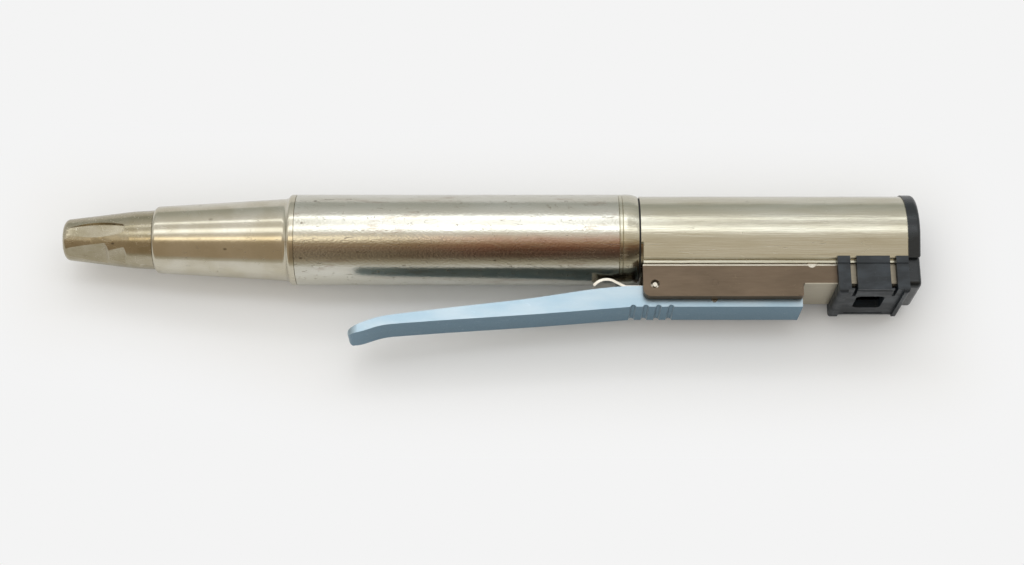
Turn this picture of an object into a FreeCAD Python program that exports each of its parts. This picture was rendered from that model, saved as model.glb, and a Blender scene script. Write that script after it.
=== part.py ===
import FreeCAD, Part
import math
import os

# Frame: X runs from the nose tip to the rear, the lever hangs towards -Y, Z is up from the table.
# Millimetres. In the helpers below, v is the distance from the tool axis towards the lever, so v = -Y.

# Clearances
runGap = 0.03
slideGap = 0.05
nestGap = 0.02
freeGap = 0.3

# Outer shell, from the nose to the rear
collarLength = 17.2
coneLength = 25.1
shoulderLength = 0.7
shoulderLand = 1.0
barrelLength = 60.75
ringLength = 3.6
gasketThick = 0.35
housingLength = 49.5
capThick = 2.4
rimProud = 0.35
collarEnd = collarLength
coneEnd = collarEnd + coneLength
shoulderX = coneEnd + shoulderLength
barrelStart = shoulderX + shoulderLand
barrelEnd = barrelStart + barrelLength
ringEnd = barrelEnd + ringLength
housingStart = ringEnd + gasketThick
housingEnd = housingStart + housingLength
capEnd = housingEnd + capThick
rimEnd = capEnd + rimProud

# Barrel and what nests in it
barrelRadius = 8.6
barrelWall = 0.85
seamChamfer = 0.12
barrelBore = barrelRadius - barrelWall
nestRadius = barrelBore - runGap

# Collet collar
collarTipRadius = 3.8
collarTipRound = 1.15
springPocketLength = 4.4
springPocketX = collarEnd - springPocketLength
collarMidLead = 0.2
collarMidX = springPocketX + collarMidLead
collarMidRadius = 5.38
collarEndRadius = 5.62
gripCount = 2
fluteAngle = -4.0
fluteStartX = 1.2
fluteFrontLead = 0.7
fluteWideX = 6.8
fluteEndLead = 0.6
fluteEndX = springPocketX - fluteEndLead
fluteFrontHalf = 0.8
fluteHalfWidth = 1.5
fluteEndHalf = 0.95
fluteFloorStart = 3.9
fluteFloorLow = 3.86
fluteFloorEnd = 4.85
flatOffset = 61.0
flatStartX = -0.3
flatEndLead = 0.4
flatEndX = springPocketX - flatEndLead
flatDeepLead = 4.1
flatBreakLead = 3.4
flatRestLead = 0.5
flatDeepX = flatEndX - flatDeepLead
flatBreakX = flatEndX - flatBreakLead
flatRestX = flatEndX - flatRestLead
flatDepth = 0.6
flatBreakDepth = 0.1
flatRestDepth = 0.34
flatOverrun = 0.8

# Nose cone
coneStep = 0.68
coneFrontRound = 0.8
coneFrontRadius = collarEndRadius + coneStep
shoulderStep = 0.8
shoulderFillet = 1.0
shoulderRound = 0.6
coneBackRadius = barrelRadius - shoulderStep
noseSpigotLength = 6.0
noseSpigotWall = 0.82
noseSpigotEnd = barrelStart + noseSpigotLength
noseSpigotBore = nestRadius - noseSpigotWall
noseWall = 1.2
noseCavityX = barrelStart - noseWall

# Blade spindle
socketRadius = 1.4
socketDepth = 11.0
spindleWall = 0.7
spindleRadius = socketRadius + spindleWall
stroke = 1.5
lockPinX = 6.0
lockPinRadius = 0.4
keyX = 24.0
keyLength = 3.0
keyWidth = 1.0
keyDepth = 0.55
keyHeight = 1.85
keyBottom = spindleRadius - keyDepth
keyTop = keyBottom + keyHeight

# Sleeve that the collar turns on, its bushes, seal and spring
bushWall = 0.7
bushLength = 7.0
bushRadius = spindleRadius + bushWall
frontBushX = 9.0
frontBush = (frontBushX, frontBushX + bushLength)
rearBush = (noseCavityX - freeGap - bushLength, noseCavityX - freeGap)
sleeveWall = 0.6
sleeveStart = 8.3
sleeveRadius = bushRadius + sleeveWall
sealWidth = 2.0
sealHeight = 1.5
sealX = 29.5
seal = (sealX, sealX + sealWidth)
sealRadius = spindleRadius + sealHeight
sealLipRise = 0.4
sealLipHalf = 0.3
mouthGap = 0.4
collarMouthRadius = spindleRadius + mouthGap
collarStepX = sleeveStart - freeGap
springPocketDepth = 1.2
springPocketRadius = sleeveRadius + springPocketDepth
coilWire = 0.4
coilTurns = 3
coilPitch = 1.1

# Cam drum and the yoke that follows it
armSideGap = 0.4
armGap = 0.5
armThick = 1.2
armHalfWidth = 1.4
armOuter = noseSpigotBore - armSideGap
armInner = armOuter - armThick
drumRadius = armInner - armGap
drumHalfLength = 4.2
grooveDepth = 1.2
grooveCore = drumRadius - grooveDepth
yokeLength = 3.0
yokeGap = 0.2
drumGap = 0.8
spindleEnd = noseCavityX + stroke + yokeGap
stubWall = 0.5
stubRadius = spindleRadius - stubWall
drumX = spindleEnd + yokeLength + stroke + drumGap + drumHalfLength
followerRadius = 0.7
followerTipGap = 0.3
yokeRadius = armInner + freeGap

# Bearings of the drum and the planet set
drumShaftRadius = 2.0
drumBearingWall = 3.0
drumBearingWidth = 2.6
drumBearingPitch = 7.0
drumBearingLip = 0.8
shieldRecess = 0.15
raceShare = 0.28
drumBearingRadius = drumShaftRadius + drumBearingWall
caseLength = 12.0
caseGap = 1.3
caseLip = 0.5
caseStart = drumX + drumHalfLength + caseGap
caseX = (caseStart, caseStart + caseLength)
drumBearings = (caseStart + caseLip, caseStart + caseLip + drumBearingPitch)
carrierX = caseX[1] + freeGap
carrierThick = 1.4
carrierRim = 1.2
drumShaftEnd = carrierX + carrierThick
ringGearWall = 1.209
sunTeeth = 12
planetTeeth = 12
ringTeeth = 36
addendum = 0.85
dedendum = 1.15
gearModule = (nestRadius - ringGearWall) / (ringTeeth / 2 + dedendum)
toothRootHalf = 0.29
toothTipHalf = 0.12
planetCount = 3
planetX = drumShaftEnd + freeGap
planetWidth = 3.0
gearOverlap = 0.2
planetPinRadius = 0.6
ringOverrun = 0.5
ringGearX = (planetX - freeGap, planetX + planetWidth + ringOverrun)
planetCentre = gearModule * (sunTeeth + planetTeeth) / 2
carrierRadius = planetCentre + carrierRim

# Motor
canThick = 0.2
plateThick = 1.8
spigotLength = 9.2
spigotStart = housingStart - spigotLength
motorGap = 1.0
motorStart = ringGearX[1] + motorGap
motorX = (motorStart, spigotStart - motorGap)
rotorShaftRadius = 0.9
rotorShaftEnd = motorX[1] - freeGap
motorBearingWall = 1.6
motorBearingRadius = rotorShaftRadius + motorBearingWall
coilLength = 1.3
coilSlot = 0.8
coilInset = 0.5
coilGap = 0.4
stackMargin = 0.9
stackInset = plateThick + coilLength + stackMargin
stackX = (motorX[0] + stackInset, motorX[1] - stackInset)
rotorMagnetRadius = 3.2
airGap = 0.3
stackBore = rotorMagnetRadius + airGap
stackRadius = nestRadius - canThick - nestGap
slotCount = 6
slotWidth = 1.2
slotFloor = 1.5
slotReach = stackRadius - slotFloor
coilInner = stackBore + coilGap
coilOuter = stackRadius - coilInset
leadRadius = 0.35
leadPitch = 1.5

# Retaining ring and gasket
ringDrop = 0.4
ringRearRadius = barrelRadius - ringDrop
ringLineX = 0.55
ringLineDepth = 0.1
ringCrownX = 2.4
ringCrownDrop = 0.06
gasketInset = 0.3

# Rear housing
housingDrop = 0.37
housingWall = 1.63
flankTilt = math.radians(18.0)
ledgeRise = 1.98
railDepth = 0.6
railProud = 0.25
padRise = 0.33
housingRadius = barrelRadius - housingDrop
housingBore = housingRadius - housingWall
ledgeV = housingRadius - ledgeRise
railV = ledgeV + railDepth
padV = housingRadius - padRise
flankSetback = 0.45
flankChamfer = 0.15
flankWall = 0.6


def flankAt(radius, v):
    return (radius - v * math.sin(flankTilt)) / math.cos(flankTilt)


flankHalf = flankAt(housingRadius, ledgeV)

# Thumb lever and its pivot
leverHalf = 3.8
leverTipRound = 1.9
pivotSetback = 2.5
pivotDrop = 2.33
pivotPinRadius = 0.8
pivotPinRecess = 0.4
pivotPinStep = 0.38
pivotRingDepth = 1.0
pivotBossWall = 0.75
pivotX = housingStart + pivotSetback
pivotV = barrelRadius + pivotDrop
pivotBossRadius = pivotPinRadius + pivotBossWall
pivotHole = pivotPinRadius + runGap
tailLength = 27.45
tailEnd = pivotX + tailLength
stopPinReach = 11.1
stopPinRise = 0.3
stopPinRadius = 0.6
stopPinX = pivotX + stopPinReach
stopPinV = pivotV - stopPinRise
tailInnerV = stopPinV + stopPinRadius + nestGap
leverOuter = ((56.0, 8.97), (54.6, 8.69), (51.1, 7.57), (47.4, 7.07), (38.0, 6.37), (21.3, 5.22),
              (10.2, 4.32))
leverInner = ((56.8, 8.02), (54.9, 7.12), (51.1, 5.77), (47.4, 5.17), (38.0, 3.97), (21.3, 1.92),
              (10.2, 0.22), (3.7, -0.28), (1.6, -0.28))
leverNose = (57.0, 8.57)
outerBlendReach = 4.2
tailBlendReach = 1.6
gripReach = 4.0
gripGroovePitch = 2.35
gripGrooves = 4
gripGrooveWidth = 1.1
gripGrooveDepth = 0.4
magnetReach = 20.3
magnetRadius = 1.5
magnetThick = 1.4
crossPinRadius = 0.55
crossPinProud = 0.15
magnetX = pivotX + magnetReach

# Lever bracket
bracketSetback = 0.3
bracketStart = housingStart + bracketSetback
bracketEnd = housingEnd - freeGap
plateGap = 0.33
plateThickness = 1.6
webThick = 1.0
keelThick = 3.0
cheekDepth = 5.45
topGap = 0.06
bracketCorner = 1.4
bracketTopCorner = 0.4
plateBevelRise = 0.42
plateBevelDepth = 0.1
padHalf = leverHalf + plateGap
plateInner = padHalf + nestGap
plateOuter = plateInner + plateThickness
bracketTopV = railV + topGap
railHalf = plateOuter + railProud
keelBottomV = padV + keelThick
bracketBottomV = padV + cheekDepth
bracketStepX = tailEnd
notchSetback = 1.75
notchRadius = 0.85
notchX = bracketStepX + notchSetback
detentLength = 1.4
detentInset = 0.1
detentTop = 0.04
screwHeadRadius = 1.1
screwHeadDepth = 0.7
screwShankRadius = 0.55
screwLength = 1.8
screwSlotDepth = 0.3
screwSlotHalf = 0.15
screwFrontSetback = 7.8
screwRearSetback = 4.15
bracketScrewX = (bracketStart + screwFrontSetback, bracketStepX - screwRearSetback)
leverLip = 1.4
tailOuterV = bracketBottomV + leverLip

# Leaf spring under the lever
leafThick = 0.5
leafHalf = 2.5
leafArchShare = 0.82
leafApexReach = 8.8
leafArchHalf = 2.4
leafFootReach = 5.3
leafEndReach = 2.2
leafScrewReach = 3.6
leafScrewHead = 0.8
leafScrewHeadThick = 0.3
leafScrewShank = 0.45
leafScrewLength = 2.0
leafApexX = pivotX - leafApexReach
leafScrewX = pivotX - leafScrewReach
leafSeatV = pivotV + leverInner[-1][1]
leafEndV = leafSeatV - leafThick - slideGap

# Clip block
clipEndGap = 0.1
clipLength = 13.1
clipLipRise = 0.3
clipLipDrop = 1.1
clipWall = 1.35
clipLip = 0.2
clipFloor = 2.2
clipRound = 0.7
clipRimFront = 1.7
clipRimRear = 1.1
clipRimRise = 0.6
clipX = (housingEnd - clipEndGap - clipLength, housingEnd - clipEndGap)
clipHalf = plateOuter + clipWall
clipLipHalf = clipHalf + clipLip
clipLipV = (ledgeV - clipLipRise, ledgeV + clipLipDrop)
clipBottomV = keelBottomV + clipFloor
clipRimX = (clipX[0] + clipRimFront, clipX[1] - clipRimRear)
clipSlotWidth = 1.2
clipSlotX = (2.3, 9.65)
clipSlotLandV = 0.25
clipSlotInset = 3.8
tabGroove = 0.4
windowStart = 3.9
windowLength = 5.3
windowHalf = 3.1
windowCorner = 1.0
windowX = (clipX[0] + windowStart, clipX[0] + windowStart + windowLength)
keelPocketDepth = 2.5
keelPocketV = keelBottomV - keelPocketDepth

# Connector, contacts and sensor board
capBossLength = 3.6
capBossX = housingEnd - capBossLength
connectorLength = 4.1
connectorX = (capBossX - nestGap - connectorLength, capBossX - nestGap)
contactCount = 8
contactCircle = 2.7
contactRadius = 0.35
contactHole = 0.42
contactTail = 3.9
contactDepth = 1.2
contactRecess = 1.05
boardSetback = 3.3
boardLength = 34.0
boardThick = 0.8
boardDepth = 2.6
boardTopV = housingBore - boardDepth
boardX = (housingStart + boardSetback, housingStart + boardSetback + boardLength)
boardV = (boardTopV, boardTopV + boardThick)
boardHalf = math.sqrt(housingBore ** 2 - boardV[1] ** 2) - nestGap
leadV = (boardV[0] + boardV[1]) / 2
chipSize = (3.0, 0.7, 2.6)
chipInset = 5.0
chipX = (boardX[0] + chipInset, magnetX, boardX[1] - chipInset)

# End cap with the cord socket
cordBore = 4.4
cordRimWall = 1.0
cordRimRadius = cordBore + cordRimWall
capProud = 0.22
capRadius = housingRadius + capProud
capLedgeDrop = 0.09
capLedgeV = ledgeV - capLedgeDrop
capFootProud = 0.15
capFootDrop = 0.55
capLowerHalf = plateOuter + capFootProud
capBottomV = keelBottomV + capFootDrop
capBossRadius = housingBore - slideGap
capRound = 0.8
capCorner = 1.2
rimRoot = 1.0
capScrewRise = 1.6
capScrewW = 3.9
capScrewHead = 0.9
capScrewShank = 0.5
capScrewLength = 7.0
capScrewSlot = 0.3
capScrewSunk = 0.1
capScrewBottomGap = 1.0
capScrewV = keelBottomV - capScrewRise

origin = FreeCAD.Vector(0, 0, 0)
xAxis = FreeCAD.Vector(1, 0, 0)
zAxis = FreeCAD.Vector(0, 0, 1)
far = 30.0


# Shape helpers
def flatFace(points):
    return Part.Face(Part.makePolygon(points + points[:1]))


def revolved(profile):
    return flatFace([FreeCAD.Vector(x, r, 0) for x, r in profile]).revolve(origin, xAxis, 360)


def rod(x0, x1, radius, v=0.0, w=0.0):
    return Part.makeCylinder(radius, x1 - x0, FreeCAD.Vector(x0, -v, w), xAxis)


def tube(x0, x1, outer, inner):
    return rod(x0, x1, outer).cut(rod(x0, x1, inner))


def block(x0, x1, v0, v1, w0, w1):
    return Part.makeBox(x1 - x0, v1 - v0, w1 - w0, FreeCAD.Vector(x0, -v1, w0))


def crossRod(x, v, radius, half):
    return Part.makeCylinder(radius, 2 * half, FreeCAD.Vector(x, -v, -half), zAxis)


def downRod(x, v0, v1, radius, w=0.0):
    return Part.makeCylinder(radius, v1 - v0, FreeCAD.Vector(x, -v0, w), FreeCAD.Vector(0, -1, 0))


def sidePrism(points, w0, w1):
    corners = [FreeCAD.Vector(x, -v, w0) for x, v in points]
    return flatFace(corners).extrude(FreeCAD.Vector(0, 0, w1 - w0))


def endPrism(points, x0, x1):
    corners = [FreeCAD.Vector(x0, -v, w) for v, w in points]
    return flatFace(corners).extrude(FreeCAD.Vector(x1 - x0, 0, 0))


def turned(shape, degrees):
    copy = shape.copy()
    copy.rotate(origin, xAxis, degrees)
    return copy


def ringOf(shape, count, start=0.0):
    return [turned(shape, start + i * 360.0 / count) for i in range(count)]


def edgesWhere(shape, test):
    return [edge for edge in shape.Edges if test(edge.BoundBox)]


def near(a, b):
    return abs(a - b) < 0.01


def roundAt(shape, x, radius):
    return shape.makeFillet(radius, edgesWhere(shape, lambda b: near(b.XMin, x) and near(b.XMax, x) and
                                               b.YLength > 1))


# Collet collar: a turned sleeve with two milled finger flutes and, beside each of them, a pair of flats
def collarRadiusAt(x):
    return collarTipRadius + x / collarMidX * (collarMidRadius - collarTipRadius)


def fluteCutter():
    frontX = fluteStartX + fluteFrontLead
    rearX = fluteEndX - fluteEndHalf
    front = FreeCAD.Vector(fluteStartX, 0, 0)
    rear = FreeCAD.Vector(fluteEndX, 0, 0)
    frontEnds = [FreeCAD.Vector(frontX, side * fluteFrontHalf, 0) for side in (1, -1)]
    middles = [FreeCAD.Vector(fluteWideX, side * fluteHalfWidth, 0) for side in (1, -1)]
    rearEnds = [FreeCAD.Vector(rearX, side * fluteEndHalf, 0) for side in (1, -1)]
    outline = Part.Wire([Part.Arc(frontEnds[1], front, frontEnds[0]).toShape(),
                         Part.Arc(frontEnds[0], middles[0], rearEnds[0]).toShape(),
                         Part.Arc(rearEnds[0], rear, rearEnds[1]).toShape(),
                         Part.Arc(rearEnds[1], middles[1], frontEnds[1]).toShape()])
    tool = Part.Face(outline).extrude(FreeCAD.Vector(0, 0, 2 * collarMidRadius))
    across = FreeCAD.Vector(0, 2 * collarMidRadius, 0)
    floorStart = FreeCAD.Vector(fluteStartX, -collarMidRadius, fluteFloorStart)
    floorLow = FreeCAD.Vector(fluteWideX, -collarMidRadius, fluteFloorLow)
    floorEnd = FreeCAD.Vector(fluteEndX, -collarMidRadius, fluteFloorEnd)
    footEnd = FreeCAD.Vector(fluteEndX, -collarMidRadius, 0)
    footStart = FreeCAD.Vector(fluteStartX, -collarMidRadius, 0)
    edges = [Part.Arc(floorStart, floorLow, floorEnd).toShape(), Part.makeLine(floorEnd, footEnd),
             Part.makeLine(footEnd, footStart), Part.makeLine(footStart, floorStart)]
    return tool.cut(Part.Face(Part.Wire(edges)).extrude(across))


def flatCutter():
    deep = collarRadiusAt(flatDeepX) - flatDepth
    rest = collarRadiusAt(flatRestX) - flatRestDepth
    frontSlope = (deep - collarRadiusAt(flatStartX)) / (flatDeepX - flatStartX)
    rearSlope = (collarRadiusAt(flatEndX) - rest) / (flatEndX - flatRestX)
    x0 = flatStartX - flatOverrun
    x1 = flatEndX + flatOverrun
    points = [(x0, collarRadiusAt(flatStartX) - frontSlope * flatOverrun), (flatDeepX, deep),
              (flatBreakX, collarRadiusAt(flatBreakX) - flatBreakDepth), (flatRestX, rest),
              (x1, collarRadiusAt(flatEndX) + rearSlope * flatOverrun),
              (x1, 2 * collarMidRadius), (x0, 2 * collarMidRadius)]
    corners = [FreeCAD.Vector(x, -collarMidRadius, z) for x, z in points]
    return flatFace(corners).extrude(FreeCAD.Vector(0, 2 * collarMidRadius, 0))


def colletCollar():
    body = revolved([(0, collarMouthRadius), (0, collarTipRadius), (collarMidX, collarMidRadius),
                     (collarEnd - slideGap, collarEndRadius), (collarEnd - slideGap, springPocketRadius),
                     (springPocketX, springPocketRadius), (springPocketX, sleeveRadius + slideGap),
                     (collarStepX, sleeveRadius + slideGap), (collarStepX, collarMouthRadius)])
    tip = edgesWhere(body, lambda b: near(b.XMax, 0) and near(b.ZMax, collarTipRadius))
    body = body.makeFillet(collarTipRound, tip)
    for cutter in ringOf(fluteCutter(), gripCount, fluteAngle):
        body = body.cut(cutter)
    for cutter in ringOf(flatCutter(), gripCount, fluteAngle + flatOffset):
        body = body.cut(cutter)
    return body


def collarSpring():
    middle = (sleeveRadius + springPocketRadius) / 2
    helix = Part.makeHelix(coilPitch, coilTurns * coilPitch, middle)
    half = coilWire / 2
    corners = [FreeCAD.Vector(middle + r, 0, z) for r, z in ((-half, -half), (half, -half), (half, half),
                                                             (-half, half))]
    coil = Part.Wire(helix).makePipeShell([Part.makePolygon(corners + corners[:1])], True, True)
    coil.rotate(origin, FreeCAD.Vector(0, 1, 0), 90)
    coil.translate(FreeCAD.Vector(springPocketX + coilWire, 0, 0))
    return coil


# Nose cone with its front sleeve, shoulder and threaded spigot
def noseCone():
    bore = spindleRadius + freeGap
    body = revolved([(sleeveStart, bore), (sleeveStart, sleeveRadius), (collarEnd, sleeveRadius),
                     (collarEnd, coneFrontRadius), (coneEnd, coneBackRadius), (shoulderX, barrelRadius),
                     (barrelStart, barrelRadius), (barrelStart, nestRadius), (noseSpigotEnd, nestRadius),
                     (noseSpigotEnd, noseSpigotBore), (noseCavityX, noseSpigotBore), (noseCavityX, bore)])
    for x, radius in ((shoulderX, shoulderRound), (coneEnd, shoulderFillet)):
        body = roundAt(body, x, radius)
    rim = [edge for edge in body.Edges if near(edge.BoundBox.XMax, collarEnd) and
           near(edge.BoundBox.ZMax, coneFrontRadius)]
    body = body.makeFillet(coneFrontRound, rim)
    body = body.cut(rod(frontBush[0], frontBush[1], bushRadius))
    body = body.cut(rod(rearBush[0], noseCavityX, bushRadius))
    body = body.cut(rod(seal[0], seal[1], sealRadius))
    return body.cut(guideKey())


def bush(span):
    return tube(span[0], span[1], bushRadius - nestGap, spindleRadius + runGap)


def noseSeal():
    middle = (seal[0] + seal[1]) / 2
    lip = spindleRadius + runGap
    outer = sealRadius - nestGap
    return revolved([(seal[0], lip + sealLipRise), (seal[0], outer), (seal[1], outer),
                     (seal[1], lip + sealLipRise), (middle + sealLipHalf, lip),
                     (middle - sealLipHalf, lip)])


def guideKey():
    return block(keyX, keyX + keyLength, -keyTop, -keyBottom - slideGap, -keyWidth / 2, keyWidth / 2)


# Blade spindle: blind blade socket at the front, keyway, yoke stub at the rear
def bladeSpindle():
    body = rod(0, spindleEnd, spindleRadius).fuse(rod(spindleEnd, spindleEnd + yokeLength, stubRadius))
    body = body.cut(rod(-1, socketDepth, socketRadius))
    keyway = block(keyX - stroke - freeGap, keyX + keyLength + stroke + freeGap, -keyTop, -keyBottom,
                   -keyWidth / 2 - slideGap, keyWidth / 2 + slideGap)
    return body.cut(keyway).cut(downRod(lockPinX, 0, spindleRadius + 1, lockPinRadius + slideGap))


def lockPin():
    return downRod(lockPinX, socketRadius + slideGap, spindleRadius - slideGap, lockPinRadius)


def driveYoke():
    disc = tube(spindleEnd, spindleEnd + yokeLength, yokeRadius, stubRadius + nestGap)
    arm = block(spindleEnd, drumX + 2 * followerRadius, -armOuter, -armInner, -armHalfWidth, armHalfWidth)
    return disc.fuse(arm).removeSplitter().cut(downRod(drumX, -far, 0, followerRadius + nestGap))


def followerPin():
    return downRod(drumX, -armOuter, -drumRadius - followerTipGap, followerRadius)


# Cam drum: the skewed groove turns the rotation into the stroke
def camDrum():
    drum = rod(drumX - drumHalfLength, drumX + drumHalfLength, drumRadius)
    shaft = rod(drumX, drumShaftEnd, drumShaftRadius)
    width = 2 * (followerRadius + slideGap)
    ring = Part.makeCylinder(2 * drumRadius, width, FreeCAD.Vector(drumX - width / 2, 0, 0), xAxis)
    tilt = math.degrees(math.atan2(stroke, drumRadius))
    ring.rotate(FreeCAD.Vector(drumX, 0, 0), FreeCAD.Vector(0, 1, 0), tilt)
    groove = ring.cut(rod(drumX - far, drumX + far, grooveCore))
    return drum.cut(groove).fuse(shaft).removeSplitter()


def bearing(x, width, outer, inner):
    race = (outer - inner) * raceShare
    front = x + shieldRecess
    end = x + width
    back = end - shieldRecess
    return revolved([(x, inner), (x, inner + race), (front, inner + race), (front, outer - race),
                     (x, outer - race), (x, outer), (end, outer), (end, outer - race),
                     (back, outer - race), (back, inner + race), (end, inner + race), (end, inner)])


def gearCase():
    lip = drumBearingRadius - drumBearingLip
    body = tube(caseX[0], caseX[1], nestRadius, lip)
    for x in drumBearings:
        body = body.cut(rod(x - nestGap, x + drumBearingWidth + nestGap, drumBearingRadius + nestGap))
    return body.cut(rod(caseX[0], drumBearings[0], drumBearingRadius + nestGap))


# Planet set
def toothedPrism(teeth, width, x, outward):
    pitchRadius = gearModule * teeth / 2
    tip = pitchRadius + outward * addendum * gearModule
    root = pitchRadius - outward * dedendum * gearModule
    step = 2 * math.pi / teeth
    corners = []
    for i in range(teeth):
        for share, radius in ((-toothRootHalf, root), (-toothTipHalf, tip), (toothTipHalf, tip),
                              (toothRootHalf, root)):
            angle = (i + share) * step
            corners.append(FreeCAD.Vector(x, radius * math.cos(angle), radius * math.sin(angle)))
    face = flatFace(corners)
    return face.extrude(FreeCAD.Vector(width, 0, 0))


def sunPinion():
    x = planetX - gearOverlap
    width = planetWidth + 2 * gearOverlap
    hole = rod(x, x + width, rotorShaftRadius + nestGap)
    return toothedPrism(sunTeeth, width, x, 1).cut(hole)


def planetGear(index):
    hole = rod(planetX, planetX + planetWidth, planetPinRadius + runGap)
    gear = turned(toothedPrism(planetTeeth, planetWidth, planetX, 1).cut(hole), 180.0 / planetTeeth)
    gear.translate(FreeCAD.Vector(0, planetCentre, 0))
    return turned(gear, index * 360.0 / planetCount)


def planetPins():
    pin = rod(carrierX, planetX + planetWidth + gearOverlap, planetPinRadius, -planetCentre)
    return Part.makeCompound(ringOf(pin, planetCount))


def planetCarrier():
    body = tube(carrierX, carrierX + carrierThick, carrierRadius, drumShaftRadius + nestGap)
    for pin in ringOf(rod(carrierX, carrierX + carrierThick, planetPinRadius + nestGap, -planetCentre),
                      planetCount):
        body = body.cut(pin)
    return body


def ringGear():
    x0, x1 = ringGearX
    return rod(x0, x1, nestRadius).cut(toothedPrism(ringTeeth, x1 - x0, x0, -1))


# Motor
def motorCan():
    return tube(motorX[0], motorX[1], nestRadius, nestRadius - canThick)


def motorPlate(x):
    return tube(x, x + plateThick, stackRadius, motorBearingRadius + nestGap)


def motorBearing(x):
    return bearing(x, plateThick, motorBearingRadius, rotorShaftRadius + runGap)


def rotorShaft():
    return rod(planetX - gearOverlap, rotorShaftEnd, rotorShaftRadius)


def rotorMagnet():
    return tube(stackX[0] + freeGap, stackX[1] - freeGap, rotorMagnetRadius, rotorShaftRadius + nestGap)


def statorStack():
    body = tube(stackX[0], stackX[1], stackRadius, stackBore)
    slot = block(stackX[0], stackX[1], 0, slotReach, -slotWidth / 2, slotWidth / 2)
    for cutter in ringOf(slot, slotCount):
        body = body.cut(cutter)
    return body


def statorWindings():
    pieces = []
    for x in (stackX[0] - coilLength - nestGap, stackX[1] + nestGap):
        coils = tube(x, x + coilLength, coilOuter, coilInner)
        for cutter in ringOf(block(x, x + coilLength, 0, 2 * coilOuter, -coilSlot / 2, coilSlot / 2),
                             slotCount):
            coils = coils.cut(cutter)
        pieces.extend(coils.Solids)
    return Part.makeCompound(pieces)


def motorLeads():
    return Part.makeCompound([rod(motorX[1], boardX[0], leadRadius, leadV, i * leadPitch)
                              for i in (-1, 0, 1)])


# Barrel, retaining ring and gasket
def barrel():
    return revolved([(barrelStart, barrelBore), (barrelStart, barrelRadius - seamChamfer),
                     (barrelStart + seamChamfer, barrelRadius), (barrelEnd - seamChamfer, barrelRadius),
                     (barrelEnd, barrelRadius - seamChamfer), (barrelEnd, barrelBore)])


def retainingRing():
    lineX = barrelEnd + ringLineX
    top = barrelRadius - ringLineDepth
    a = FreeCAD.Vector(lineX + 2 * ringLineDepth, barrelRadius, 0)
    b = FreeCAD.Vector(barrelEnd + ringCrownX, barrelRadius - ringCrownDrop, 0)
    c = FreeCAD.Vector(ringEnd, ringRearRadius, 0)
    chain = [c, FreeCAD.Vector(ringEnd, barrelBore, 0), FreeCAD.Vector(barrelEnd, barrelBore, 0),
             FreeCAD.Vector(barrelEnd, top, 0), FreeCAD.Vector(barrelEnd + ringLineDepth, barrelRadius, 0),
             FreeCAD.Vector(lineX, barrelRadius, 0), FreeCAD.Vector(lineX + ringLineDepth, top, 0), a]
    edges = [Part.makeLine(chain[i], chain[i + 1]) for i in range(len(chain) - 1)]
    edges.append(Part.Arc(a, b, c).toShape())
    return Part.Face(Part.Wire(edges)).revolve(origin, xAxis, 360)


def gasket():
    return tube(ringEnd, housingStart, ringRearRadius - gasketInset, barrelBore)


# Rear housing: a round back, flanks tangent to it, a rail under them, and the pad for the bracket
def shellOutline(x0, x1, radius, ledge):
    half = flankAt(radius, ledge)
    v = radius * math.sin(flankTilt)
    w = radius * math.cos(flankTilt)
    start = FreeCAD.Vector(x0, -v, w)
    end = FreeCAD.Vector(x0, -v, -w)
    back = Part.Arc(start, FreeCAD.Vector(x0, radius, 0), end).toShape()
    corners = [end, FreeCAD.Vector(x0, -ledge, -half), FreeCAD.Vector(x0, -ledge, half), start]
    sides = [Part.makeLine(corners[i], corners[i + 1]) for i in range(len(corners) - 1)]
    return Part.Face(Part.Wire([back] + sides)).extrude(FreeCAD.Vector(x1 - x0, 0, 0))


def rearHousing():
    body = shellOutline(housingStart, housingEnd, housingRadius, ledgeV)
    body = body.fuse(block(housingStart, housingEnd, 0, railV, -railHalf, railHalf))
    body = body.fuse(block(housingStart, housingEnd, 0, padV, -padHalf, padHalf)).removeSplitter()
    flankEdges = edgesWhere(body, lambda b: near(b.YMin, -ledgeV) and near(b.YMax, -ledgeV) and
                            near(abs(b.ZMax), flankHalf) and b.XLength > 1)
    body = body.makeChamfer(flankChamfer, flankEdges)
    setback = block(housingStart, housingStart + flankSetback, flankHalf / 2, far, -far, far)
    body = body.cut(setback.cut(rod(housingStart, housingEnd, housingBore + flankWall)))
    body = body.fuse(rod(spigotStart, housingStart, nestRadius - nestGap)).removeSplitter()
    body = body.cut(rod(spigotStart, housingEnd, housingBore))
    for x in bracketScrewX:
        body = body.cut(downRod(x, 0, far, screwShankRadius + nestGap))
    return body


# Lever bracket: two cheek plates, the web between them, and the solid keel behind the lever
def bracketCheek(w0, w1):
    plate = sidePrism([(bracketStart, bracketTopV), (bracketEnd, bracketTopV), (bracketEnd, keelBottomV),
                       (bracketStepX, keelBottomV), (bracketStepX, bracketBottomV),
                       (bracketStart, bracketBottomV)], w0, w1)
    corner = edgesWhere(plate, lambda b: near(b.XMax, bracketStart) and near(b.YMin, -bracketBottomV) and
                        b.ZLength > 1 and b.YLength < 0.1)
    plate = plate.makeFillet(bracketCorner, corner)
    topCorner = edgesWhere(plate, lambda b: near(b.XMax, bracketStart) and near(b.YMax, -bracketTopV) and
                           b.ZLength > 1 and b.YLength < 0.1)
    plate = plate.makeFillet(bracketTopCorner, topCorner)
    rearCorner = edgesWhere(plate, lambda b: near(b.XMax, bracketStepX) and near(b.XMin, bracketStepX) and
                            near(b.YMin, -bracketBottomV) and b.ZLength > 1 and b.YLength < 0.1)
    plate = plate.makeFillet(bracketTopCorner, rearCorner)
    return plate.cut(crossRod(notchX, bracketTopV, notchRadius, far))


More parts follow.
